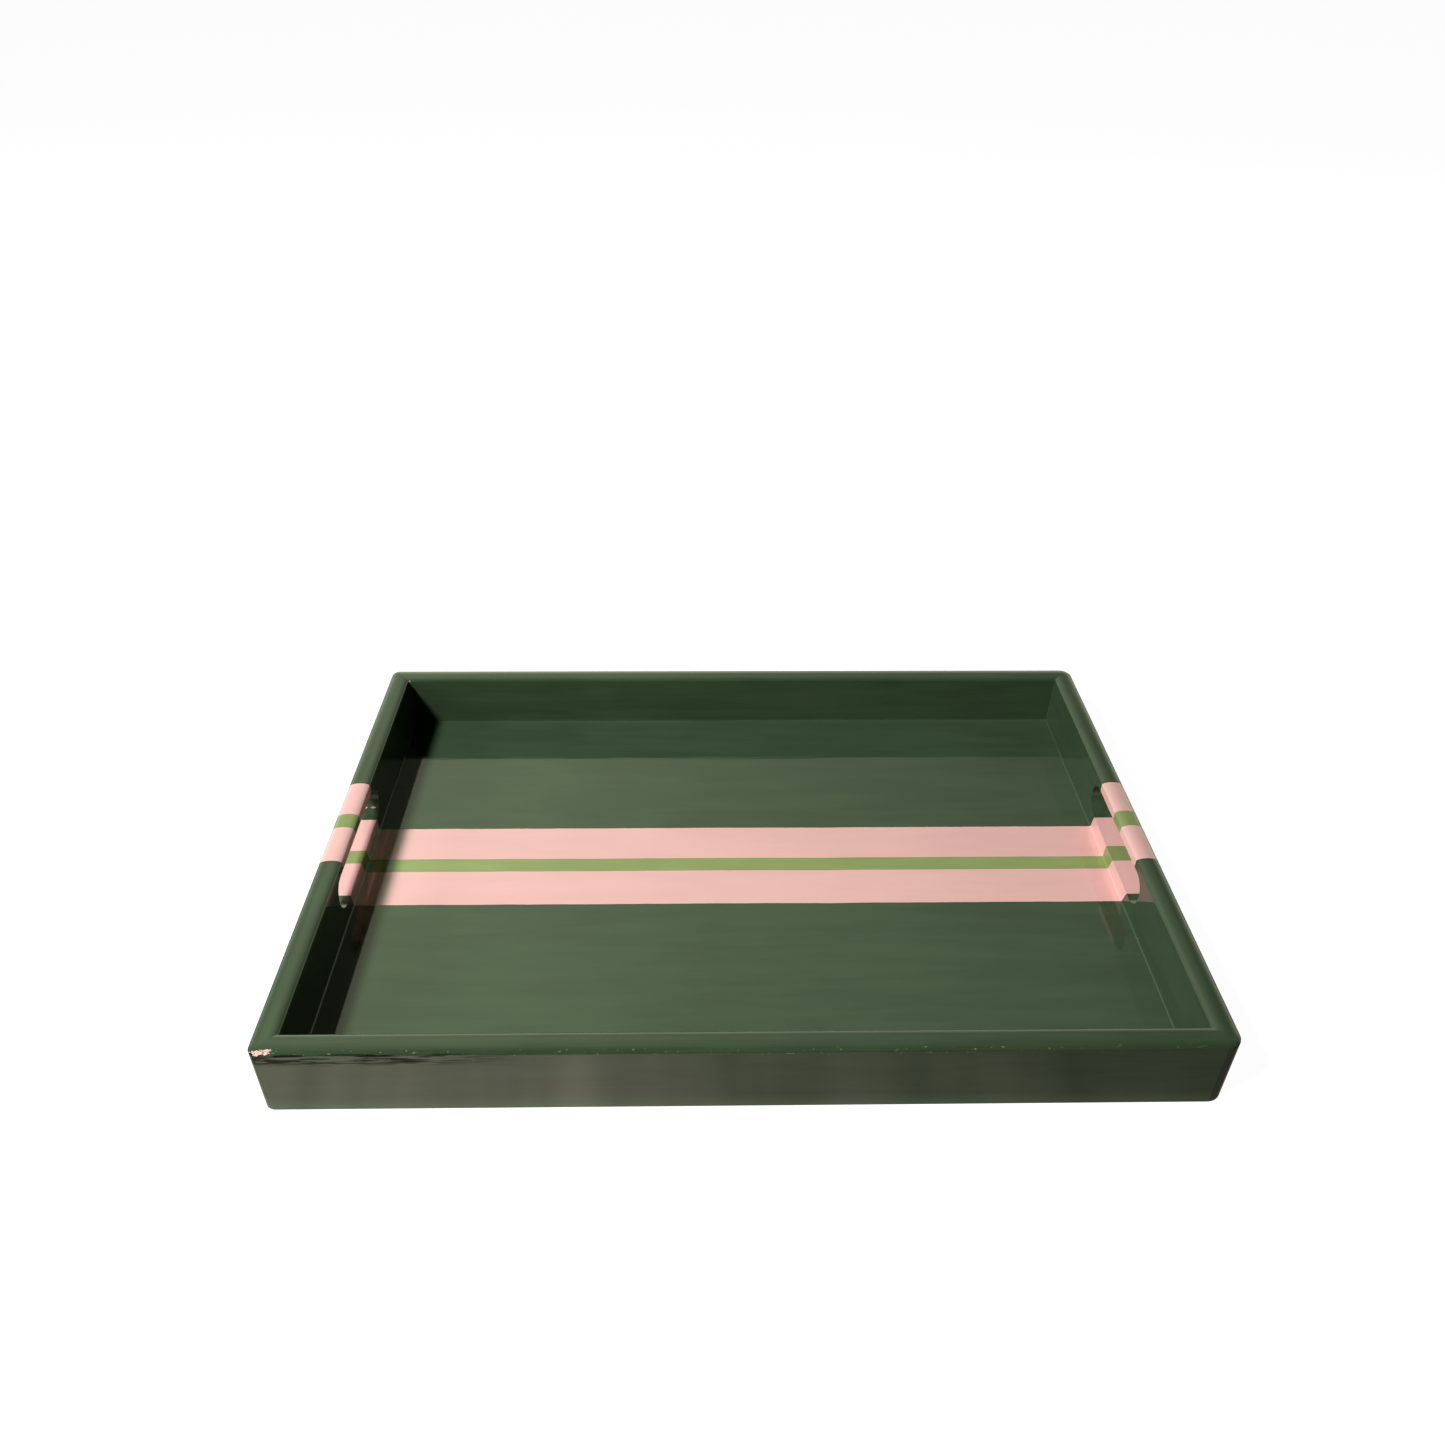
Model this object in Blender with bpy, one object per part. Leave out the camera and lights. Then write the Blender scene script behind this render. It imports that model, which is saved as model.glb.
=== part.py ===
"""Painted wooden serving tray.

Four mitred walls with a crowned rim stand round a base panel that is let into a rebate.
Each end wall has an oblong handle slot. Steel brads hold the mitres and the panel.
Metres, +Z up. The origin is the middle of the tray on the surface it stands on, +X is its long way.
"""

from math import cos, pi, sin

import bmesh
import bpy
from mathutils import Matrix, Vector

# Tray
TRAY_LENGTH = 0.430
TRAY_WIDTH = 0.2975
TRAY_HEIGHT = 0.0391
CORNER_RADIUS = 0.0055
CORNER_FLATS = 3

# Wall section
WALL = 0.0121
CROWN = 0.0034
CROWN_STEPS = 8
FOOT_EASE = 0.0006

# Base panel
FLOOR_HEIGHT = 0.0070
PANEL_THICKNESS = 0.0055
REBATE = 0.0060

# Handle slots
SLOT_LENGTH = 0.0855
SLOT_BOTTOM = 0.0150
SLOT_TOP = 0.0335
SLOT_MIDDLE_Y = -0.0008
SLOT_END_STEPS = 10
SLOT_END_SHARE = 0.999

# Brads
BRAD_RADIUS = 0.0006
BRAD_HEAD_RADIUS = 0.0010
BRAD_HEAD_DEPTH = 0.0006
CORNER_BRAD_LENGTH = 0.020
CORNER_BRAD_SET = 0.0012
CORNER_BRAD_HEIGHTS = {"lower": 0.0115, "upper": 0.0285}
PANEL_BRAD_LENGTH = 0.015
PANEL_BRAD_SET = 0.0002
BRAD_SIDES = 12
LONG_WALL_BRADS_X = (-0.150, -0.050, 0.050, 0.150)
END_WALL_BRADS_Y = (-0.095, 0.095)

# Fit between touching pieces, and how far a cutter runs past what it cuts
GAP = 0.0003
PAST = 0.002
WELD = 1e-6
ROUND_EDGE = 0.7

# Finishes
PAINTED_GREEN = (0.055, 0.085, 0.050)
BRAD_STEEL = (0.48, 0.48, 0.47)
WALL_ROUGHNESS = 0.12
PANEL_ROUGHNESS = 0.10
STEEL_ROUGHNESS = 0.35


def clear_scene():
    for old in list(bpy.data.objects):
        bpy.data.objects.remove(old, do_unlink=True)


def material(name, colour, roughness, metallic=0.0):
    made = bpy.data.materials.new(name)
    made.use_nodes = True
    shader = made.node_tree.nodes["Principled BSDF"]
    shader.inputs["Base Color"].default_value = (*colour, 1.0)
    shader.inputs["Roughness"].default_value = roughness
    shader.inputs["Metallic"].default_value = metallic
    return made


def add_object(bm, name, finish=None):
    """Turn the bmesh into a named object with its faces pointing out."""
    bmesh.ops.recalc_face_normals(bm, faces=bm.faces)
    mesh = bpy.data.meshes.new(name)
    bm.to_mesh(mesh)
    bm.free()
    made = bpy.data.objects.new(name, mesh)
    bpy.context.scene.collection.objects.link(made)
    if finish:
        mesh.materials.append(finish)
    return made


def cut(piece, cutter):
    """Cut the piece by a guide that stays out of the model."""
    cutter.hide_render = True
    cutter.display_type = "WIRE"
    boolean = piece.modifiers.new(cutter.name, "BOOLEAN")
    boolean.operation = "DIFFERENCE"
    boolean.solver = "EXACT"
    boolean.object = cutter


def box(low, high):
    """A bmesh box between two corners."""
    bm = bmesh.new()
    bmesh.ops.create_cube(bm, size=1.0)
    size = Vector(high) - Vector(low)
    bmesh.ops.scale(bm, vec=size, verts=bm.verts)
    bmesh.ops.translate(bm, vec=(Vector(high) + Vector(low)) / 2, verts=bm.verts)
    return bm


def rounded_box(low, high, axis, radius, steps):
    """A box whose four edges along one axis are rounded."""
    bm = box(low, high)
    along = [e for e in bm.edges if abs((e.verts[0].co - e.verts[1].co)[axis]) > GAP]
    bmesh.ops.bevel(
        bm, geom=along, offset=radius, offset_type="OFFSET", segments=steps,
        profile=0.5, affect="EDGES", material=-1, clamp_overlap=False,
    )
    return bm


# Walls: lengths of one moulded section, mitred at both ends


def wall_section():
    """The section as (distance in from the outer face, height), anticlockwise from the foot."""
    half = WALL / 2
    shoulder = TRAY_HEIGHT - CROWN
    lip = FLOOR_HEIGHT + GAP
    crown = []
    for step in range(CROWN_STEPS + 1):
        turn = pi * step / CROWN_STEPS
        crown.append((half - half * cos(turn), shoulder + CROWN * sin(turn)))
    foot = [(WALL - REBATE, lip), (WALL - REBATE, 0.0), (FOOT_EASE, 0.0), (0.0, FOOT_EASE)]
    return [*crown, (WALL, lip), *foot]


def saw(bm, point, normal):
    """Take off what lies beyond a plane, and close the cut."""
    sawn = bmesh.ops.bisect_plane(
        bm, geom=[*bm.verts, *bm.edges, *bm.faces], plane_co=point, plane_no=normal, clear_outer=True,
    )
    kerf = [e for e in sawn["geom_cut"] if isinstance(e, bmesh.types.BMEdge)]
    bmesh.ops.contextual_create(bm, geom=kerf)


def wall_stock(length):
    """A wall lying along X, its outer face at y = 0 facing -Y, with mitred and rounded ends."""
    bm = bmesh.new()
    corners = [bm.verts.new((-length / 2, inwards, height)) for inwards, height in wall_section()]
    end = bm.faces.new(corners)
    pushed = bmesh.ops.extrude_face_region(bm, geom=[end])
    far = [v for v in pushed["geom"] if isinstance(v, bmesh.types.BMVert)]
    bmesh.ops.translate(bm, vec=(length, 0.0, 0.0), verts=far)
    for side in (-1, 1):
        saw(bm, (side * (length / 2 - GAP / 2**0.5), 0.0, 0.0), (side, 1.0, 0.0))
        middle = Vector((side * (length / 2 - CORNER_RADIUS), CORNER_RADIUS, 0.0))
        for step in range(1, CORNER_FLATS + 1):
            turn = pi / 4 * step / CORNER_FLATS
            outwards = Vector((side * sin(turn), -cos(turn), 0.0))
            saw(bm, middle + CORNER_RADIUS * outwards, outwards)
    return bm


def add_walls(paint):
    """The four walls, keyed by side."""
    places = {
        "front_wall": (TRAY_LENGTH, 0.0, (0.0, -TRAY_WIDTH / 2)),
        "right_end_wall": (TRAY_WIDTH, pi / 2, (TRAY_LENGTH / 2, 0.0)),
        "back_wall": (TRAY_LENGTH, pi, (0.0, TRAY_WIDTH / 2)),
        "left_end_wall": (TRAY_WIDTH, -pi / 2, (-TRAY_LENGTH / 2, 0.0)),
    }
    walls = {}
    for name, (length, turn, (x, y)) in places.items():
        bm = wall_stock(length)
        place = Matrix.Translation((x, y, 0.0)) @ Matrix.Rotation(turn, 4, "Z")
        bmesh.ops.transform(bm, matrix=place, verts=bm.verts)
        walls[name] = add_object(bm, name, paint)
    return walls


# Handle slots: oblong holes with half-round ends, one through each end wall


def add_slot(wall, side):
    outer = side * (TRAY_LENGTH / 2 + PAST)
    inner = side * (TRAY_LENGTH / 2 - WALL - PAST)
    bm = rounded_box(
        (min(outer, inner), SLOT_MIDDLE_Y - SLOT_LENGTH / 2, SLOT_BOTTOM),
        (max(outer, inner), SLOT_MIDDLE_Y + SLOT_LENGTH / 2, SLOT_TOP),
        0, (SLOT_TOP - SLOT_BOTTOM) / 2 * SLOT_END_SHARE, SLOT_END_STEPS,
    )
    cut(wall, add_object(bm, wall.name + "_slot"))


# Base panel: one board that sits in the rebate under the walls' inner lip


def add_base_panel(paint):
    reach = WALL - REBATE + GAP
    low = (-TRAY_LENGTH / 2 + reach, -TRAY_WIDTH / 2 + reach, FLOOR_HEIGHT - PANEL_THICKNESS)
    high = (TRAY_LENGTH / 2 - reach, TRAY_WIDTH / 2 - reach, FLOOR_HEIGHT)
    return add_object(box(low, high), "base_panel", paint)


# Brads: headed steel pins, with a hole for each in the boards that it joins


def pin(head, direction, length, grow=0.0):
    """A headed pin from the outside of its head, grown all over for its hole."""
    head_radius, shank_radius = BRAD_HEAD_RADIUS + grow, BRAD_RADIUS + grow
    neck, tip = BRAD_HEAD_DEPTH + grow, length + grow
    profile = (
        (0.0, -grow), (head_radius, -grow), (head_radius, neck),
        (shank_radius, neck), (shank_radius, tip), (0.0, tip),
    )
    bm = bmesh.new()
    points = [bm.verts.new((radius, 0.0, along)) for radius, along in profile]
    lines = [bm.edges.new(pair) for pair in zip(points, points[1:])]
    bmesh.ops.spin(
        bm, geom=points + lines, cent=(0.0, 0.0, 0.0), axis=(0.0, 0.0, 1.0),
        angle=2 * pi, steps=BRAD_SIDES, use_merge=True,
    )
    bmesh.ops.remove_doubles(bm, verts=bm.verts, dist=WELD)
    turn = Vector((0.0, 0.0, 1.0)).rotation_difference(Vector(direction)).to_matrix().to_4x4()
    bmesh.ops.transform(bm, matrix=Matrix.Translation(head) @ turn, verts=bm.verts)
    return bm


def add_brad(name, head, direction, length, joined, steel):
    """One brad, and its hole in each board of the joint."""
    brad = add_object(pin(head, direction, length), name, steel)
    brad.data.shade_smooth()
    brad.data.set_sharp_from_angle(angle=ROUND_EDGE)
    hole = add_object(pin(head, direction, length, GAP), name + "_hole")
    for board in joined:
        cut(board, hole)


def add_corner_brads(walls, steel):
    """Two brads across each mitre, driven through the long wall into the end wall."""
    for end, side_x in (("left", -1), ("right", 1)):
        for wall, side_y in (("front", -1), ("back", 1)):
            joined = (walls[wall + "_wall"], walls[end + "_end_wall"])
            for level, height in CORNER_BRAD_HEIGHTS.items():
                head = (
                    side_x * (TRAY_LENGTH / 2 - WALL / 2),
                    side_y * (TRAY_WIDTH / 2 - CORNER_BRAD_SET),
                    height,
                )
                name = f"corner_brad_{wall}_{end}_{level}"
                add_brad(name, head, (0.0, -side_y, 0.0), CORNER_BRAD_LENGTH, joined, steel)


def add_panel_brads(walls, panel, steel):
    """Brads driven up through the panel's edge into the walls above the rebate."""
    inwards = WALL - REBATE / 2
    spots = []
    for wall, side in (("front", -1), ("back", 1)):
        for number, x in enumerate(LONG_WALL_BRADS_X, 1):
            spots.append((wall, number, x, side * (TRAY_WIDTH / 2 - inwards)))
    for wall, side in (("left_end", -1), ("right_end", 1)):
        for number, y in enumerate(END_WALL_BRADS_Y, 1):
            spots.append((wall, number, side * (TRAY_LENGTH / 2 - inwards), y))
    for wall, number, x, y in spots:
        head = (x, y, FLOOR_HEIGHT - PANEL_THICKNESS + PANEL_BRAD_SET)
        joined = (panel, walls[wall + "_wall"])
        name = f"panel_brad_{wall}_{number}"
        add_brad(name, head, (0.0, 0.0, 1.0), PANEL_BRAD_LENGTH, joined, steel)


clear_scene()
wall_paint = material("lacquered_walls", PAINTED_GREEN, WALL_ROUGHNESS)
panel_paint = material("lacquered_panel", PAINTED_GREEN, PANEL_ROUGHNESS)
brad_steel = material("brad_steel", BRAD_STEEL, STEEL_ROUGHNESS, metallic=1.0)
tray_walls = add_walls(wall_paint)
add_slot(tray_walls["left_end_wall"], -1)
add_slot(tray_walls["right_end_wall"], 1)
tray_panel = add_base_panel(panel_paint)
add_corner_brads(tray_walls, brad_steel)
add_panel_brads(tray_walls, tray_panel, brad_steel)
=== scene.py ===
"""Hand-painted wooden serving tray.

Four mitred walls with a crowned rim stand round a base panel, each end wall has an oblong handle slot, and
gloss green lacquer covers everything, crossed by a pink, light green and pink stripe.
Metres, +Z up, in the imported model's frame, whose solids give the sizes that the pieces are placed by.
"""

from math import cos, pi, radians, sin

import bmesh
import bpy
from mathutils import Matrix, Vector, noise


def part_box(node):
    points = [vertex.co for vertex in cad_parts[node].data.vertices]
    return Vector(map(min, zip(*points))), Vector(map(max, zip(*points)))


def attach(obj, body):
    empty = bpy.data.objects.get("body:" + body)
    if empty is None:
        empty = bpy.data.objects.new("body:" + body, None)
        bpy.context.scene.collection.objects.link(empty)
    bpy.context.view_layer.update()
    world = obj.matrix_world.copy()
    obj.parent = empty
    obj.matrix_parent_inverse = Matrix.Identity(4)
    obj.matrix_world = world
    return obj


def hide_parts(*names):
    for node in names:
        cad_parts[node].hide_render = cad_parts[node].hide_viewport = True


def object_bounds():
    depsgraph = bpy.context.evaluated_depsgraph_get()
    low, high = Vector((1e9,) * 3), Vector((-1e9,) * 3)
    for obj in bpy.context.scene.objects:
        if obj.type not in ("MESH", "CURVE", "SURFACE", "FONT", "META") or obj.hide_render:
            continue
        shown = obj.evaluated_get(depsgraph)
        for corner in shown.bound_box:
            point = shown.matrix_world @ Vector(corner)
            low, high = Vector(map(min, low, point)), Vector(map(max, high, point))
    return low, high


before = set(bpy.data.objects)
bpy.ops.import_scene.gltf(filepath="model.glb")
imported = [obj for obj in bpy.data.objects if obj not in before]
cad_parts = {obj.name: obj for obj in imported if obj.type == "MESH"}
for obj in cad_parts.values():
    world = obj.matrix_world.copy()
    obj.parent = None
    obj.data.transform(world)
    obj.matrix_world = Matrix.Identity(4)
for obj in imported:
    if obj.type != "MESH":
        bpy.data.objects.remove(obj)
cad_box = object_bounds()


# Front and back walls: lengths of close-grained board, planed to a crowned rim, rebated along the inner foot
# for the base panel, and mitred at the ends. The outer corners are rounded after gluing, each by hand, and
# filler and paint run on over the mitres, so no joint shows.

TRAY_LENGTH = cad_box[1].x - cad_box[0].x
TRAY_WIDTH = cad_box[1].y - cad_box[0].y
TRAY_HEIGHT = cad_box[1].z
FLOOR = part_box("base_panel")[1].z
PANEL_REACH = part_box("base_panel")[0].x - cad_box[0].x
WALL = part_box("front_wall")[1].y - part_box("front_wall")[0].y
INNER_CROWN = 0.0018
INNER_CROWN_WIDTH = 0.0054
INNER_CROWN_FULLNESS = 2.0
OUTER_CROWN = 0.0022
OUTER_CROWN_FULLNESS = 2.0
CROWN_STEPS = 12
FOOT_EASE = 0.0009
FOOT_STEPS = 4
CORNER_RADII = {(-1, -1): 0.0052, (1, -1): 0.0078, (1, 1): 0.0066, (-1, 1): 0.0044}
CORNER_STEPS = 16
MITRE_CREASE = 0.0003
SHARP_EDGE = radians(40)


def outline(bm, inset, height):
    """A level rectangle with rounded corners, set in from the tray's outside."""
    before = set(bm.edges)
    x = TRAY_LENGTH / 2 - inset
    y = TRAY_WIDTH / 2 - inset
    corners = [bm.verts.new((side_x * x, side_y * y, height)) for side_x, side_y in CORNER_RADII]
    for pair in zip(corners, corners[1:] + corners[:1]):
        bm.edges.new(pair)
    for corner, radius in zip(corners, CORNER_RADII.values()):
        bmesh.ops.bevel(
            bm, geom=[corner], offset=max(radius - inset, MITRE_CREASE), offset_type="OFFSET",
            segments=CORNER_STEPS, profile=0.5, affect="VERTICES", material=-1,
        )
    return [edge for edge in bm.edges if edge not in before]


def bridge(bm, loops):
    """A skin from each loop of edges to the next."""
    for first, second in zip(loops, loops[1:]):
        bmesh.ops.bridge_loops(bm, edges=first + second)


def wall_ring():
    """All four walls' section, carried round the tray as one closed ring."""
    foot = [
        (FOOT_EASE * (1 - sin(turn)), FOOT_EASE * (1 - cos(turn)))
        for turn in (pi / 2 * step / FOOT_STEPS for step in range(FOOT_STEPS + 1))
    ]
    turns = [pi / 2 * step / CROWN_STEPS for step in range(CROWN_STEPS)]
    middle = WALL / 2
    bend = 2 / OUTER_CROWN_FULLNESS
    outer = [
        (middle * (1 - cos(turn) ** bend), TRAY_HEIGHT - OUTER_CROWN * (1 - sin(turn) ** bend))
        for turn in turns
    ]
    bend = 2 / INNER_CROWN_FULLNESS
    inner = [
        (middle + INNER_CROWN_WIDTH * sin(turn) ** bend, TRAY_HEIGHT - INNER_CROWN * (1 - cos(turn) ** bend))
        for turn in turns
    ]
    inner.append((middle + INNER_CROWN_WIDTH, TRAY_HEIGHT - INNER_CROWN))
    rebate = [(WALL, FLOOR), (PANEL_REACH, FLOOR), (PANEL_REACH, 0.0)]
    bm = bmesh.new()
    loops = [outline(bm, inset, height) for inset, height in foot + outer + inner + rebate]
    bridge(bm, loops + loops[:1])
    bmesh.ops.recalc_face_normals(bm, faces=bm.faces)
    return bm


def mitred(ring, outward):
    """The part of the ring that is one wall, sawn off at 45 degrees at both ends."""
    bm = ring.copy()
    outward = Vector((*outward, 0))
    along = Vector((-outward.y, outward.x, 0))
    for end in (-1, 1):
        corner = outward + end * along
        bmesh.ops.bisect_plane(
            bm, geom=[*bm.verts, *bm.edges, *bm.faces], clear_outer=True, plane_no=end * along - outward,
            plane_co=(corner.x * TRAY_LENGTH / 2, corner.y * TRAY_WIDTH / 2, 0.0),
        )
        bmesh.ops.contextual_create(bm, geom=[edge for edge in bm.edges if edge.is_boundary])
    bmesh.ops.recalc_face_normals(bm, faces=bm.faces)
    return bm


def piece(bm, name, *paints):
    """A finished mesh as an object, smooth where it is rounded."""
    mesh = bpy.data.meshes.new(name)
    bm.to_mesh(mesh)
    bm.free()
    for paint in paints:
        mesh.materials.append(paint)
    mesh.shade_smooth()
    mesh.set_sharp_from_angle(angle=SHARP_EDGE)
    made = bpy.data.objects.new(name, mesh)
    bpy.context.scene.collection.objects.link(made)
    return made


def cut(board, cutter):
    """Takes the cutter's shape out of the board and throws the cutter away."""
    saw = board.modifiers.new("cut", "BOOLEAN")
    saw.operation = "DIFFERENCE"
    saw.solver = "EXACT"
    saw.material_mode = "TRANSFER"
    saw.object = cutter
    result = board.evaluated_get(bpy.context.evaluated_depsgraph_get())
    mesh = bpy.data.meshes.new_from_object(result)
    board.modifiers.clear()
    board.data = mesh
    bpy.data.objects.remove(cutter)


CHIP_LUMPS = 2.6
CHIP_SPREAD = 0.01
CHIP_RAGGED = 0.55
CHIP_TEETH = 0.8
CHIP_TOOTH_SCALE = 2.7


def chip(board, place, size, bare):
    """Breaks a small ragged flake of paint and wood out of a board."""
    bm = bmesh.new()
    bmesh.ops.create_icosphere(bm, subdivisions=4, radius=1.0)
    for vert in bm.verts:
        spot = vert.co * CHIP_LUMPS + Vector(place) / CHIP_SPREAD
        rough = noise.noise(spot) + CHIP_TEETH * noise.noise(spot * CHIP_TOOTH_SCALE)
        vert.co *= 1 + CHIP_RAGGED * rough
    bmesh.ops.scale(bm, vec=size, verts=bm.verts)
    bmesh.ops.translate(bm, vec=place, verts=bm.verts)
    cut(board, piece(bm, "flake", bare))


def settle_shading(board):
    """Lets the broad flat faces set the normals along their rounded edges, and keeps a chip's edge crisp."""
    board.data.shade_smooth()
    board.data.set_sharp_from_angle(angle=SHARP_EDGE)
    bm = bmesh.new()
    bm.from_mesh(board.data)
    for edge in bm.edges:
        if len({face.material_index for face in edge.link_faces}) > 1:
            edge.smooth = False
    bm.to_mesh(board.data)
    bm.free()
    weighted = board.modifiers.new("flat faces stay flat", "WEIGHTED_NORMAL")
    weighted.keep_sharp = True


def node(tree, kind, inputs, **settings):
    """A node with its settings made and its inputs linked or filled."""
    made = tree.nodes.new("ShaderNode" + kind)
    for setting, value in settings.items():
        setattr(made, setting, value)
    for socket, value in inputs.items():
        if isinstance(value, bpy.types.NodeSocket):
            tree.links.new(value, made.inputs[socket])
        else:
            made.inputs[socket].default_value = value
    return made


def sums(tree, operation, *values, clamp=False):
    """One arithmetic step on sockets or plain numbers."""
    return node(tree, "Math", dict(enumerate(values)), operation=operation, use_clamp=clamp).outputs[0]


def ramp(tree, value, slope, start):
    """A share that climbs or falls in a straight line with a value, and stays between 0 and 1."""
    return sums(tree, "MULTIPLY_ADD", value, slope, start, clamp=True)


def mixed(tree, share, under, over):
    """The colour over covering the colour under by this share."""
    made = node(tree, "Mix", {"Factor": share}, data_type="RGBA")
    for socket, value in (("A", under), ("B", over)):
        slot = next(s for s in made.inputs if s.name == socket and s.type == "RGBA")
        if isinstance(value, bpy.types.NodeSocket):
            tree.links.new(value, slot)
        else:
            slot.default_value = (*value, 1.0)
    return next(s for s in made.outputs if s.type == "RGBA")


def patches(tree, grain, detail=2.0, stretch=(1.0, 1.0, 1.0), start=(0.0, 0.0, 0.0)):
    """Cloudy noise from 0 to 1 whose patches are about a grain across, or longer where stretched.

    A stretch of 0 along an axis carries the patches along it without end.
    """
    place = node(tree, "TexCoord", {}).outputs["Object"]
    scale = [1 / length if length else 0.0 for length in stretch]
    placed = node(tree, "Mapping", {"Vector": place, "Scale": scale, "Location": start}).outputs[0]
    cloud = node(tree, "TexNoise", {"Vector": placed, "Scale": 1 / grain, "Detail": detail})
    return cloud.outputs["Fac"]


def where(tree):
    """The x, y and z of the point being shaded."""
    place = node(tree, "TexCoord", {}).outputs["Object"]
    return node(tree, "SeparateXYZ", {"Vector": place}).outputs


GREEN = (0.037, 0.062, 0.031)
PINK = (0.808, 0.464, 0.430)
LIGHT_GREEN = (0.232, 0.292, 0.098)
STRIPE_COLOURS = (PINK, LIGHT_GREEN, PINK, GREEN)
EDGE_SOFTNESS = 0.00012
EDGE_LINE = 0.0003
EDGE_RIDGE = 0.00002
EDGE_DARKNESS = 0.25
EDGE_WAVER = 0.0009
WAVER_LENGTH = 0.03


def light_share(tree, colour):
    """How much of the surface is the pale paint, from its red, 0 on green to 1 on pink."""
    red = node(tree, "SeparateColor", {"Color": colour}).outputs[0]
    return sums(tree, "DIVIDE", red, PINK[0], clamp=True)


def stripe_paint(tree, y, z, stripes):
    """The stripes' colours, and the raised line that the paint leaves at each edge, which wavers a little."""
    colour = GREEN
    ridge = 0.0
    waver = sums(tree, "SUBTRACT", patches(tree, WAVER_LENGTH, 3.0, (1.0, 0.0, 1.0)), 0.5)
    waver = sums(tree, "MULTIPLY", waver, EDGE_WAVER)
    for number, next_colour in enumerate(STRIPE_COLOURS):
        drift = stripes[0][1][number]
        for (low, start), (high, end) in zip(stripes, stripes[1:]):
            climb = sums(tree, "DIVIDE", sums(tree, "SUBTRACT", z, low), high - low, clamp=True)
            drift = sums(tree, "MULTIPLY_ADD", climb, end[number] - start[number], drift)
        past = sums(tree, "SUBTRACT", sums(tree, "ADD", y, waver), drift)
        colour = mixed(tree, ramp(tree, past, 1 / EDGE_SOFTNESS, 0.5), colour, next_colour)
        line = sums(tree, "DIVIDE", sums(tree, "ABSOLUTE", past), EDGE_LINE)
        ridge = sums(tree, "ADD", ridge, sums(tree, "SUBTRACT", 1.0, line, clamp=True))
    return colour, ridge


SPECK_GRAIN = 0.0011
SPECK_STRETCH = (2.0, 1.0, 1.0)
SPECK_SHARPNESS = 14.0
SPECK_LEVEL = -9.3
SPECK_REACH = 0.0020
SPECK_FADE = 0.0004


def pale_specked(tree, y, rimwards, colour):
    """The colour with small pale specks strewn along the rim's outer edge."""
    off_side = sums(tree, "SUBTRACT", sums(tree, "ABSOLUTE", y), TRAY_WIDTH / 2 - SPECK_REACH)
    on_edge = sums(tree, "MULTIPLY", off_side, 1 / SPECK_FADE, clamp=True)
    on_edge = sums(tree, "MULTIPLY", rimwards, on_edge)
    specks = ramp(tree, patches(tree, SPECK_GRAIN, 2.0, SPECK_STRETCH), SPECK_SHARPNESS, SPECK_LEVEL)
    return mixed(tree, sums(tree, "MULTIPLY", specks, on_edge), colour, LIGHT_GREEN)


DRAG_WIDTH = 0.0010
DRAG_LENGTH = 0.014
DRAG_SHARPNESS = 14.0
DRAG_LEVEL = -6.3
DRAG_DARKNESS_AND_DULLNESS = 0.85
DRAGS_END_X = -0.095
DRAGS_END_FADE = -0.05
DRAGS_BOTTOM = 0.0300
DRAGS_BOTTOM_FADE = 0.003
DRAGS_TOP = 0.0380
DRAGS_TOP_FADE = -0.0005


def dull_drags_painted_dark(tree, x, y, z):
    """Where a dry brush left dull drags, high on the left of the front face, whose dark reflection is painted
    in.
    """
    painted_dark_drags = patches(tree, DRAG_WIDTH, 3.0, (DRAG_LENGTH / DRAG_WIDTH, 1.0, 1.0), (0.4, 0.7, 0.2))
    painted_dark_drags = ramp(tree, painted_dark_drags, DRAG_SHARPNESS, DRAG_LEVEL)
    for reach, end, fade in (
        (x, DRAGS_END_X, DRAGS_END_FADE),
        (z, DRAGS_BOTTOM, DRAGS_BOTTOM_FADE),
        (z, DRAGS_TOP, DRAGS_TOP_FADE),
    ):
        within = sums(tree, "DIVIDE", sums(tree, "SUBTRACT", reach, end), fade, clamp=True)
        painted_dark_drags = sums(tree, "MULTIPLY", painted_dark_drags, within)
    near = sums(tree, "LESS_THAN", y, 0.0)
    return sums(tree, "MULTIPLY", painted_dark_drags, near)


STROKE_WIDTH = 0.0007
STROKE_STRETCH = 40.0
STROKE_HEIGHT = 0.0000008
BROAD_WIDTH = 0.006
BROAD_STRETCH = 7.0
LAP_WIDTH = 0.011
LAP_SHARPNESS = 7.0
LAP_LEVEL = -3.1
CLOUD_WIDTH = 0.06
DARKEST_SHADE = 0.50
BRISTLE_SHADE = 0.24
BROAD_SHADE = 0.30
LAP_SHADE = 0.12
CLOUD_SHADE = 0.32
# Painted light from the table: how high above the foot, and how strongly, the lacquer is made paler.
PAINTED_FOOT_LIGHT_HEIGHT = 0.0090
PAINTED_FOOT_LIGHT = 1.1
LIGHT_PAINT_CALM = 0.75
RIPPLE_WIDTH = 0.0035
RIPPLE_STRETCH = 12.0
RIPPLE_HEIGHT = 0.000034
SHEEN_WIDTH = 0.01
SHEEN_SPREAD = 0.06
SMOOTHEST = 0.02
RIM_FADE = 0.0015
RIM_DULLNESS = 0.10
LACQUER_IOR = 1.5


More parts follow.
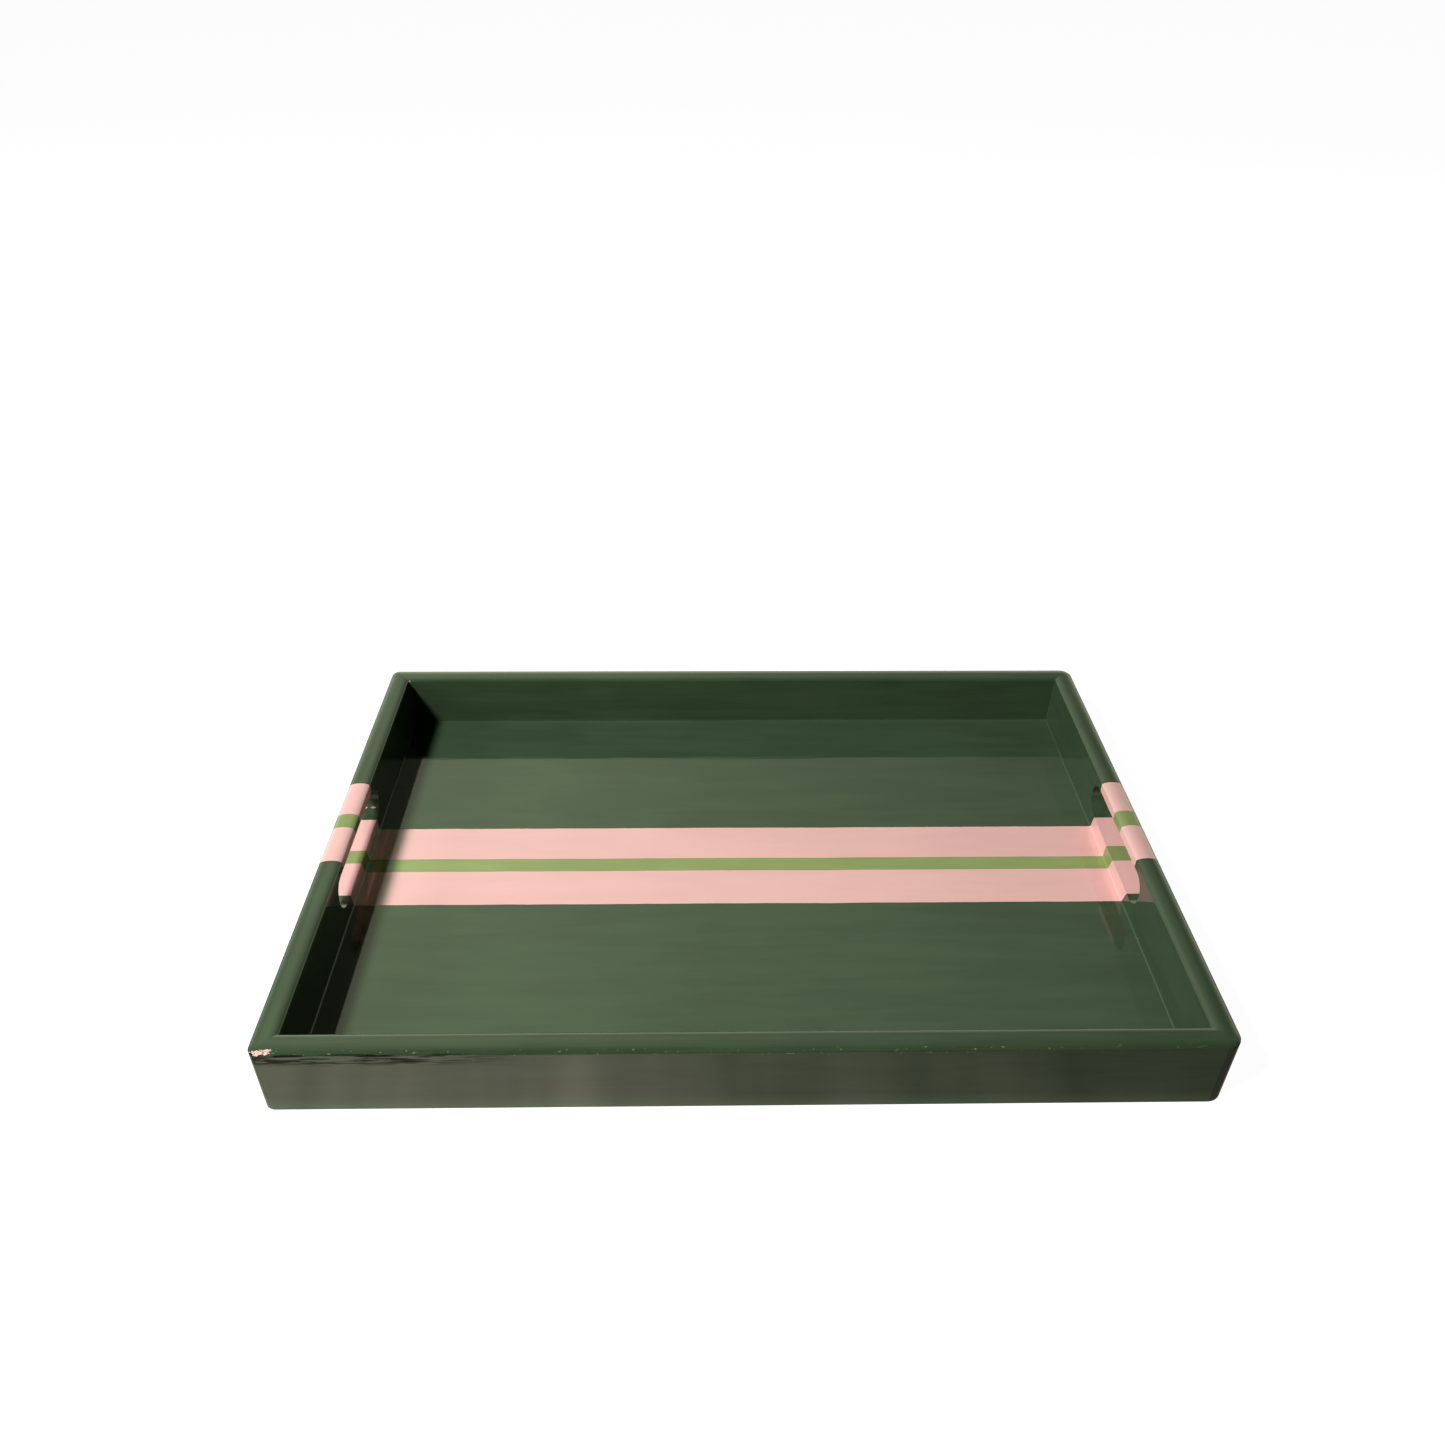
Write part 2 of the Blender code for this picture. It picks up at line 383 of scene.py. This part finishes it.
def lacquer(name, strokes="X", stripes=()):
    """Gloss lacquer brushed on in thin strokes along an axis: green, and across it the stripes.

    The stripes' edges are places along Y, given at one height or more. Rims are duller; plain lacquer has
    pale specks on them.
    """
    paint = bpy.data.materials.new(name)
    paint.use_nodes = True
    tree = paint.node_tree
    shader = tree.nodes["Principled BSDF"]
    x, y, z = (where(tree)[axis] for axis in "XYZ")
    hairs, sweeps, swells = (
        [times if axis == strokes else 1.0 for axis in "XYZ"]
        for times in (STROKE_STRETCH, BROAD_STRETCH, RIPPLE_STRETCH)
    )
    bristles = patches(tree, STROKE_WIDTH, 3.0, hairs)
    broad = patches(tree, BROAD_WIDTH, 3.0, sweeps, (0.3, 0.1, 0.2))
    laps = ramp(tree, patches(tree, LAP_WIDTH, 5.0, sweeps), LAP_SHARPNESS, LAP_LEVEL)
    cloudy = patches(tree, CLOUD_WIDTH, 3.0)
    shade = sums(tree, "MULTIPLY_ADD", bristles, BRISTLE_SHADE, DARKEST_SHADE)
    for streaks, strength in ((broad, BROAD_SHADE), (laps, LAP_SHADE), (cloudy, CLOUD_SHADE)):
        shade = sums(tree, "MULTIPLY_ADD", streaks, strength, shade)
    # Painted light: the lacquer is made paler towards the foot, as if lit by the table below it.
    painted_foot_light = ramp(tree, z, -1 / PAINTED_FOOT_LIGHT_HEIGHT, 1.0)
    shade = sums(tree, "MULTIPLY_ADD", painted_foot_light, PAINTED_FOOT_LIGHT, shade)
    rimwards = ramp(tree, z, 1 / RIM_FADE, 1.0 - (TRAY_HEIGHT - OUTER_CROWN) / RIM_FADE)
    height = sums(tree, "MULTIPLY", bristles, STROKE_HEIGHT)
    ripples = patches(tree, RIPPLE_WIDTH, 2.0, swells, (0.2, 0.4, 0.1))
    height = sums(tree, "MULTIPLY_ADD", ripples, RIPPLE_HEIGHT, height)
    if stripes:
        colour, ridge = stripe_paint(tree, y, z, stripes)
        shade = sums(tree, "MULTIPLY", shade, sums(tree, "MULTIPLY_ADD", ridge, -EDGE_DARKNESS, 1.0))
        calm = sums(tree, "MULTIPLY_ADD", light_share(tree, colour), -LIGHT_PAINT_CALM, 1.0)
        shade = sums(tree, "MULTIPLY_ADD", sums(tree, "SUBTRACT", shade, 1.0), calm, 1.0)
        height = sums(tree, "MULTIPLY_ADD", ridge, EDGE_RIDGE, height)
    else:
        colour = pale_specked(tree, y, rimwards, GREEN)
        # Painted reflection: the drags darken the colour where their dark reflection falls, and they also
        # lower the gloss.
        painted_dark_drags = dull_drags_painted_dark(tree, x, y, z)
        shade = sums(tree, "MULTIPLY", shade, sums(tree, "MULTIPLY_ADD", painted_dark_drags, -DRAG_DARKNESS_AND_DULLNESS, 1.0))
        gloss = sums(tree, "MULTIPLY_ADD", painted_dark_drags, -DRAG_DARKNESS_AND_DULLNESS / 2, 0.5)
        tree.links.new(gloss, shader.inputs["Specular IOR Level"])
    tinted = mixed(tree, 1.0, colour, shade)
    tinted.node.blend_type = "MULTIPLY"
    tree.links.new(tinted, shader.inputs["Base Color"])
    bump = node(tree, "Bump", {"Height": height, "Distance": 1.0, "Strength": 1.0}).outputs[0]
    tree.links.new(bump, shader.inputs["Normal"])
    rough = sums(tree, "MULTIPLY_ADD", patches(tree, SHEEN_WIDTH, 3.0, swells), SHEEN_SPREAD, SMOOTHEST)
    rough = sums(tree, "MULTIPLY_ADD", rimwards, RIM_DULLNESS, rough)
    tree.links.new(rough, shader.inputs["Roughness"])
    shader.inputs["IOR"].default_value = LACQUER_IOR
    return paint


BARE_WOOD = (0.930, 0.670, 0.600)
WOOD_SHADOW = (0.600, 0.420, 0.330)
FIBRE_WIDTH = 0.0003
FIBRE_STRETCH = (4.0, 1.0, 1.0)
WOOD_ROUGHNESS = 0.8


def bare_wood():
    """The pale, matt wood that a chip lays open."""
    wood = bpy.data.materials.new("bare_wood")
    wood.use_nodes = True
    tree = wood.node_tree
    shader = tree.nodes["Principled BSDF"]
    fibres = patches(tree, FIBRE_WIDTH, 4.0, FIBRE_STRETCH)
    tree.links.new(mixed(tree, fibres, BARE_WOOD, WOOD_SHADOW), shader.inputs["Base Color"])
    shader.inputs["Roughness"].default_value = WOOD_ROUGHNESS
    return wood


plain_lacquer = lacquer("plain_lacquer")
wood = bare_wood()
long_wall_chips = {
    "front": (
        ((-0.2105, -0.1478, 0.0386), (0.0030, 0.0013, 0.0011)),
        ((-0.2062, -0.1475, 0.0389), (0.0032, 0.0014, 0.0010)),
        ((-0.2020, -0.1472, 0.0391), (0.0011, 0.0006, 0.0006)),
    ),
    "back": (((-0.2029, 0.1368, 0.0377), (0.0009, 0.0008, 0.0008)),),
}
ring = wall_ring()
for side, outward in (("front", (0, -1)), ("back", (0, 1))):
    wall = piece(mitred(ring, outward), side + "_wall_lacquered", plain_lacquer)
    for place, size in long_wall_chips[side]:
        chip(wall, place, size, wood)
    settle_shading(wall)
    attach(wall, "root")
    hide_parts(side + "_wall")


# End walls: the same board as the long walls, with an oblong hand hole sawn through each and its edges eased.
# The stripes run on from the floor up the inner face, through the hole and over the bar above it.

SLOT_LENGTH = 0.0855
SLOT_BOTTOM = 0.0150
SLOT_TOP = 0.0335
SLOT_MIDDLE_Y = -0.0008
SLOT_EASE = 0.0004
SLOT_EASE_STEPS = 5
SLOT_END_STEPS = 24
SLOT_END_SHARE = 0.999
PAST = 0.004

FLOOR_STRIPE_EDGES = (-0.02827, -0.00298, 0.00690, 0.03226)
SILL_STRIPE_EDGES = {
    "left_end": (-0.0291, -0.0047, 0.0053, 0.0311),
    "right_end": (-0.0309, -0.0054, 0.0063, 0.0305),
}
RIM_STRIPE_EDGES = {
    "left_end": (-0.0286, -0.0027, 0.0080, 0.0340),
    "right_end": (-0.0296, -0.0037, 0.0083, 0.0328),
}
end_wall_chips = {
    "left_end": (
        ((-0.2107, 0.0391, 0.0174), (0.0010, 0.0006, 0.0006)),
        ((-0.2064, 0.0391, 0.0174), (0.0014, 0.0005, 0.0005)),
        ((-0.2138, -0.1478, 0.0380), (0.0014, 0.0011, 0.0009)),
    ),
    "right_end": (),
}


def slot_outline(bm, x, grow):
    """The hand hole's outline at one depth in the wall."""
    before = set(bm.edges)
    corners = [
        bm.verts.new((x, SLOT_MIDDLE_Y + side * (SLOT_LENGTH / 2 + grow), z))
        for side, z in (
            (-1, SLOT_BOTTOM - grow), (1, SLOT_BOTTOM - grow), (1, SLOT_TOP + grow), (-1, SLOT_TOP + grow),
        )
    ]
    for pair in zip(corners, corners[1:] + corners[:1]):
        bm.edges.new(pair)
    half_height = (SLOT_TOP - SLOT_BOTTOM) / 2 + grow
    bmesh.ops.bevel(
        bm, geom=corners, offset=half_height * SLOT_END_SHARE, offset_type="OFFSET",
        segments=SLOT_END_STEPS, profile=0.5, affect="VERTICES", material=-1,
    )
    return [edge for edge in bm.edges if edge not in before]


def slot_cutter(side):
    """The hand hole's shape, flared at each face by the round of its eased edge."""
    eased = [pi / 2 * step / SLOT_EASE_STEPS for step in range(SLOT_EASE_STEPS + 1)]
    flare = [(SLOT_EASE * (1 - cos(turn)), SLOT_EASE * (1 - sin(turn))) for turn in eased]
    depths = [(-PAST, SLOT_EASE), *flare]
    depths += [(WALL - depth, grow) for depth, grow in reversed(depths)]
    bm = bmesh.new()
    loops = [slot_outline(bm, side * (TRAY_LENGTH / 2 - depth), grow) for depth, grow in depths]
    bridge(bm, loops)
    for end in (loops[0], loops[-1]):
        bmesh.ops.contextual_create(bm, geom=end)
    bmesh.ops.recalc_face_normals(bm, faces=bm.faces)
    return piece(bm, "slot_cutter")


for side, outward in (("left_end", (-1, 0)), ("right_end", (1, 0))):
    stripes = (
        (FLOOR, FLOOR_STRIPE_EDGES),
        (SLOT_BOTTOM, SILL_STRIPE_EDGES[side]),
        (TRAY_HEIGHT, RIM_STRIPE_EDGES[side]),
    )
    striped = lacquer(side + "_striped_lacquer", "Y", stripes)
    wall = piece(mitred(ring, outward), side + "_wall_lacquered", striped)
    cut(wall, slot_cutter(outward[0]))
    for place, size in end_wall_chips[side]:
        chip(wall, place, size, wood)
    settle_shading(wall)
    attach(wall, "root")
    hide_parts(side + "_wall")
ring.free()


# Base panel: one board glued and bradded up into the walls' rebate, with a shallow hole round each brad's
# head in its underside. Paint has run into the corner all round the floor and dried there as a rounded bead.

PANEL_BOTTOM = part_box("base_panel")[0].z
PANEL_EASE = 0.0004
BEAD = 0.0006
BEAD_STEPS = 6
BEAD_TUCK = 0.00005
JOINT_SKIN = 0.00002
BRAD_HOLE_GROW = 0.0004
BRAD_HOLE_DEPTH = 0.0012
BRAD_HOLE_SIDES = 24

floor_paint = lacquer("floor_lacquer", "X", ((FLOOR, FLOOR_STRIPE_EDGES),))
bead = [
    (WALL + BEAD * (1 - cos(turn)), FLOOR + BEAD * (1 - sin(turn)))
    for turn in (pi / 2 * step / BEAD_STEPS for step in range(BEAD_STEPS + 1))
]
section = [
    (PANEL_REACH + PANEL_EASE, PANEL_BOTTOM),
    (PANEL_REACH, PANEL_BOTTOM + PANEL_EASE),
    (PANEL_REACH, FLOOR - JOINT_SKIN),
    (WALL - BEAD_TUCK, FLOOR - JOINT_SKIN),
    (WALL - BEAD_TUCK, FLOOR + BEAD),
    *bead,
]
bm = bmesh.new()
loops = [outline(bm, inset, height) for inset, height in section]
bridge(bm, loops)
for end in (loops[0], loops[-1]):
    bmesh.ops.contextual_create(bm, geom=end)
bmesh.ops.recalc_face_normals(bm, faces=bm.faces)
panel = piece(bm, "base_panel_lacquered", floor_paint)
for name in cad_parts:
    if name.startswith("panel_brad_"):
        low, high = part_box(name)
        hole_radius = (high.x - low.x) / 2 + BRAD_HOLE_GROW
        bm = bmesh.new()
        bmesh.ops.create_cone(
            bm, cap_ends=True, segments=BRAD_HOLE_SIDES, depth=2 * BRAD_HOLE_DEPTH,
            radius1=hole_radius, radius2=hole_radius,
        )
        hole_place = ((low.x + high.x) / 2, (low.y + high.y) / 2, PANEL_BOTTOM)
        bmesh.ops.translate(bm, vec=hole_place, verts=bm.verts)
        cut(panel, piece(bm, "brad_hole", floor_paint))
settle_shading(panel)
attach(panel, "root")
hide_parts("base_panel")


# Brads: headed pins of drawn steel wire. Two cross each mitre, and twelve go up through the panel's edge into
# the walls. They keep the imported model's solids.

STEEL = (0.48, 0.48, 0.47)
DRAW_LINE_WIDTH = 0.0002
STEEL_ROUGHNESS = 0.2
STEEL_ROUGHNESS_SPREAD = 0.3

brad_steel = bpy.data.materials.new("drawn_steel")
brad_steel.use_nodes = True
steel_tree = brad_steel.node_tree
steel_shader = steel_tree.nodes["Principled BSDF"]
steel_shader.inputs["Metallic"].default_value = 1.0
steel_shader.inputs["Base Color"].default_value = (*STEEL, 1.0)
draw_lines = patches(steel_tree, DRAW_LINE_WIDTH, 3.0)
steel_rough = sums(steel_tree, "MULTIPLY_ADD", draw_lines, STEEL_ROUGHNESS_SPREAD, STEEL_ROUGHNESS)
steel_tree.links.new(steel_rough, steel_shader.inputs["Roughness"])
for name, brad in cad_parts.items():
    if "_brad_" in name:
        brad.data.materials.clear()
        brad.data.materials.append(brad_steel)


# Stage: a plain pale floor under a dome of the same. Both glow, so that they look even and white, and the
# tray neither mirrors them nor is lit by them.

STAGE_REACH = 12.0
STAGE_GAP = 0.0002
STAGE_STEPS = 96
STAGE_GREY = (0.25, 0.25, 0.25)
STAGE_GLOW = 0.97


def set_apart(thing):
    """Hides a piece of the stage from the tray."""
    thing.visible_glossy = False
    thing.visible_diffuse = False


pale = bpy.data.materials.new("pale_stage")
pale.use_nodes = True
pale_shader = pale.node_tree.nodes["Principled BSDF"]
pale_shader.inputs["Base Color"].default_value = (*STAGE_GREY, 1.0)
pale_shader.inputs["Roughness"].default_value = 1.0
pale_shader.inputs["Specular IOR Level"].default_value = 0.0
pale_shader.inputs["Emission Color"].default_value = (1.0, 1.0, 1.0, 1.0)
pale_shader.inputs["Emission Strength"].default_value = STAGE_GLOW
bm = bmesh.new()
bmesh.ops.create_circle(bm, cap_ends=True, segments=STAGE_STEPS, radius=STAGE_REACH)
bmesh.ops.translate(bm, vec=(0.0, 0.0, -STAGE_GAP), verts=bm.verts)
set_apart(piece(bm, "stage_floor", pale))
bm = bmesh.new()
bmesh.ops.create_uvsphere(bm, u_segments=STAGE_STEPS, v_segments=STAGE_STEPS // 2, radius=STAGE_REACH)
bmesh.ops.reverse_faces(bm, faces=bm.faces)
dome = piece(bm, "stage_dome", pale)
dome.visible_shadow = False
set_apart(dome)


# Lights: a small bright key from the front left, a low one beside it, and two broad weak fills from behind
# and from the right, green as light off green walls is, so that the shadows in the tray stay green.

FILL_TINT = (0.34, 1.0, 0.56)


def soft_light(name, place, size, power, tint=(1.0, 1.0, 1.0)):
    """A square light that shines on the tray's middle and isn't mirrored in it."""
    lamp = bpy.data.lights.new(name, "AREA")
    lamp.shape = "SQUARE"
    lamp.size = size
    lamp.energy = power
    lamp.color = tint
    made = bpy.data.objects.new(name, lamp)
    made.location = place
    made.rotation_euler = (-Vector(place)).to_track_quat("-Z", "Y").to_euler()
    made.visible_glossy = False
    bpy.context.scene.collection.objects.link(made)


soft_light("key", place=(-0.874, -0.65, 1.24), size=0.225, power=30.2)
soft_light("low_left", place=(-1.6, -0.5, 0.62), size=0.6, power=11.5)
soft_light("rear", place=(0.2, 2.0, 0.6), size=1.4, power=4.5, tint=FILL_TINT)
soft_light("right", place=(1.9, -0.4, 0.5), size=1.0, power=1.1, tint=FILL_TINT)


# Sky: only mirrored in the lacquer, and lights nothing. Windows stand behind the tray, brightest left of the
# middle, with a low band of light across them, and below the horizon lies a darker, streaky table top.

SKY_ACROSS = (
    (0.10, 0.28), (0.25, 0.72), (0.36, 1.00), (0.43, 0.96),
    (0.51, 0.66), (0.64, 0.34), (0.75, 0.15), (1.0, 0.02),
)
SKY_BRIGHTEST = 1.25
SKY_TINT = (0.92, 1.0, 0.70)
SKY_BEHIND = (1.4, 0.15)
SKY_HORIZON = (8.0, 1.0)
LOW_SKY = 0.65
HIGH_SKY = (7.1, -3.35)
LOW_BAND_MIDDLE = 0.20
LOW_BAND_REACH = 0.34
LOW_BAND_GLOW = 1.5
TABLE_TINT = (1.0, 0.90, 0.72)
TABLE_DEPTH = (-2.0, -0.1)
TABLE_STREAKS = (15.0, 0.0, 4.0)
TABLE_CONTRAST = (1.7, 0.05)
TABLE_ACROSS = (-0.6, 1.05)
TABLE_ENDS = (-3.0, 2.5)
TINT_CHANGE = -8.0

sky = bpy.data.worlds.new("sky")
bpy.context.scene.world = sky
sky.use_nodes = True
sky.cycles_visibility.diffuse = False
sky_tree = sky.node_tree
towards = node(sky_tree, "TexCoord", {}).outputs["Generated"]
across, backwards, upwards = node(sky_tree, "SeparateXYZ", {"Vector": towards}).outputs
window = node(sky_tree, "ValToRGB", {"Fac": sums(sky_tree, "MULTIPLY_ADD", across, 0.5, 0.5)})
for place, level in SKY_ACROSS:
    stop = window.color_ramp.elements.new(place)
    stop.color = (level, level, level, 1.0)
window.color_ramp.elements.remove(window.color_ramp.elements[-1])
behind = ramp(sky_tree, backwards, *SKY_BEHIND)
behind = sums(sky_tree, "MULTIPLY", behind, ramp(sky_tree, upwards, *SKY_HORIZON))
clear = sums(sky_tree, "MAXIMUM", LOW_SKY, ramp(sky_tree, upwards, *HIGH_SKY))
behind = sums(sky_tree, "MULTIPLY", behind, clear)
low_band = sums(sky_tree, "ABSOLUTE", sums(sky_tree, "SUBTRACT", upwards, LOW_BAND_MIDDLE))
low_band = ramp(sky_tree, low_band, -1 / LOW_BAND_REACH, 1.0)
band_behind = sums(sky_tree, "MULTIPLY", backwards, LOW_BAND_GLOW, clamp=True)
low_band = sums(sky_tree, "MULTIPLY", low_band, band_behind)
table = ramp(sky_tree, upwards, *TABLE_DEPTH)
stretched = node(sky_tree, "Mapping", {"Vector": towards, "Scale": TABLE_STREAKS}).outputs[0]
streaks = node(sky_tree, "TexNoise", {"Vector": stretched, "Scale": 1.0, "Detail": 3.0}).outputs["Fac"]
table = sums(sky_tree, "MULTIPLY", table, sums(sky_tree, "MULTIPLY_ADD", streaks, *TABLE_CONTRAST))
table = sums(sky_tree, "MULTIPLY", table, sums(sky_tree, "MULTIPLY_ADD", across, *TABLE_ACROSS))
aside = ramp(sky_tree, sums(sky_tree, "ABSOLUTE", across), *TABLE_ENDS)
table = sums(sky_tree, "MULTIPLY", table, aside)
glow = sums(sky_tree, "MULTIPLY", window.outputs["Color"], sums(sky_tree, "MAXIMUM", behind, table))
glow = sums(sky_tree, "MULTIPLY", sums(sky_tree, "ADD", glow, low_band), SKY_BRIGHTEST)
sky_tree.links.new(glow, sky_tree.nodes["Background"].inputs["Strength"])
below = sums(sky_tree, "MULTIPLY", upwards, TINT_CHANGE, clamp=True)
tint = mixed(sky_tree, below, SKY_TINT, TABLE_TINT)
sky_tree.links.new(tint, sky_tree.nodes["Background"].inputs["Color"])


# Camera: it stands in front of the tray, a little left of its middle, and looks down on it.

CAMERA_PLACE = (-0.02044, -0.46645, 0.44159)
CAMERA_TURN = 0.023002
CAMERA_TILT = 0.62565
CAMERA_ROLL = 0.010939
SENSOR_WIDTH = 36.0
LENS = 28.755

camera = bpy.data.objects.new("camera", bpy.data.cameras.new("camera"))
camera.data.sensor_width = SENSOR_WIDTH
camera.data.lens = LENS
camera.data.clip_start = 0.01
camera.matrix_world = (
    Matrix.Translation(CAMERA_PLACE) @ Matrix.Rotation(-CAMERA_TURN, 4, "Z")
    @ Matrix.Rotation(pi / 2 - CAMERA_TILT, 4, "X") @ Matrix.Rotation(CAMERA_ROLL, 4, "Z")
)
bpy.context.scene.collection.objects.link(camera)
bpy.context.scene.camera = camera
bpy.context.scene.view_settings.view_transform = "Standard"
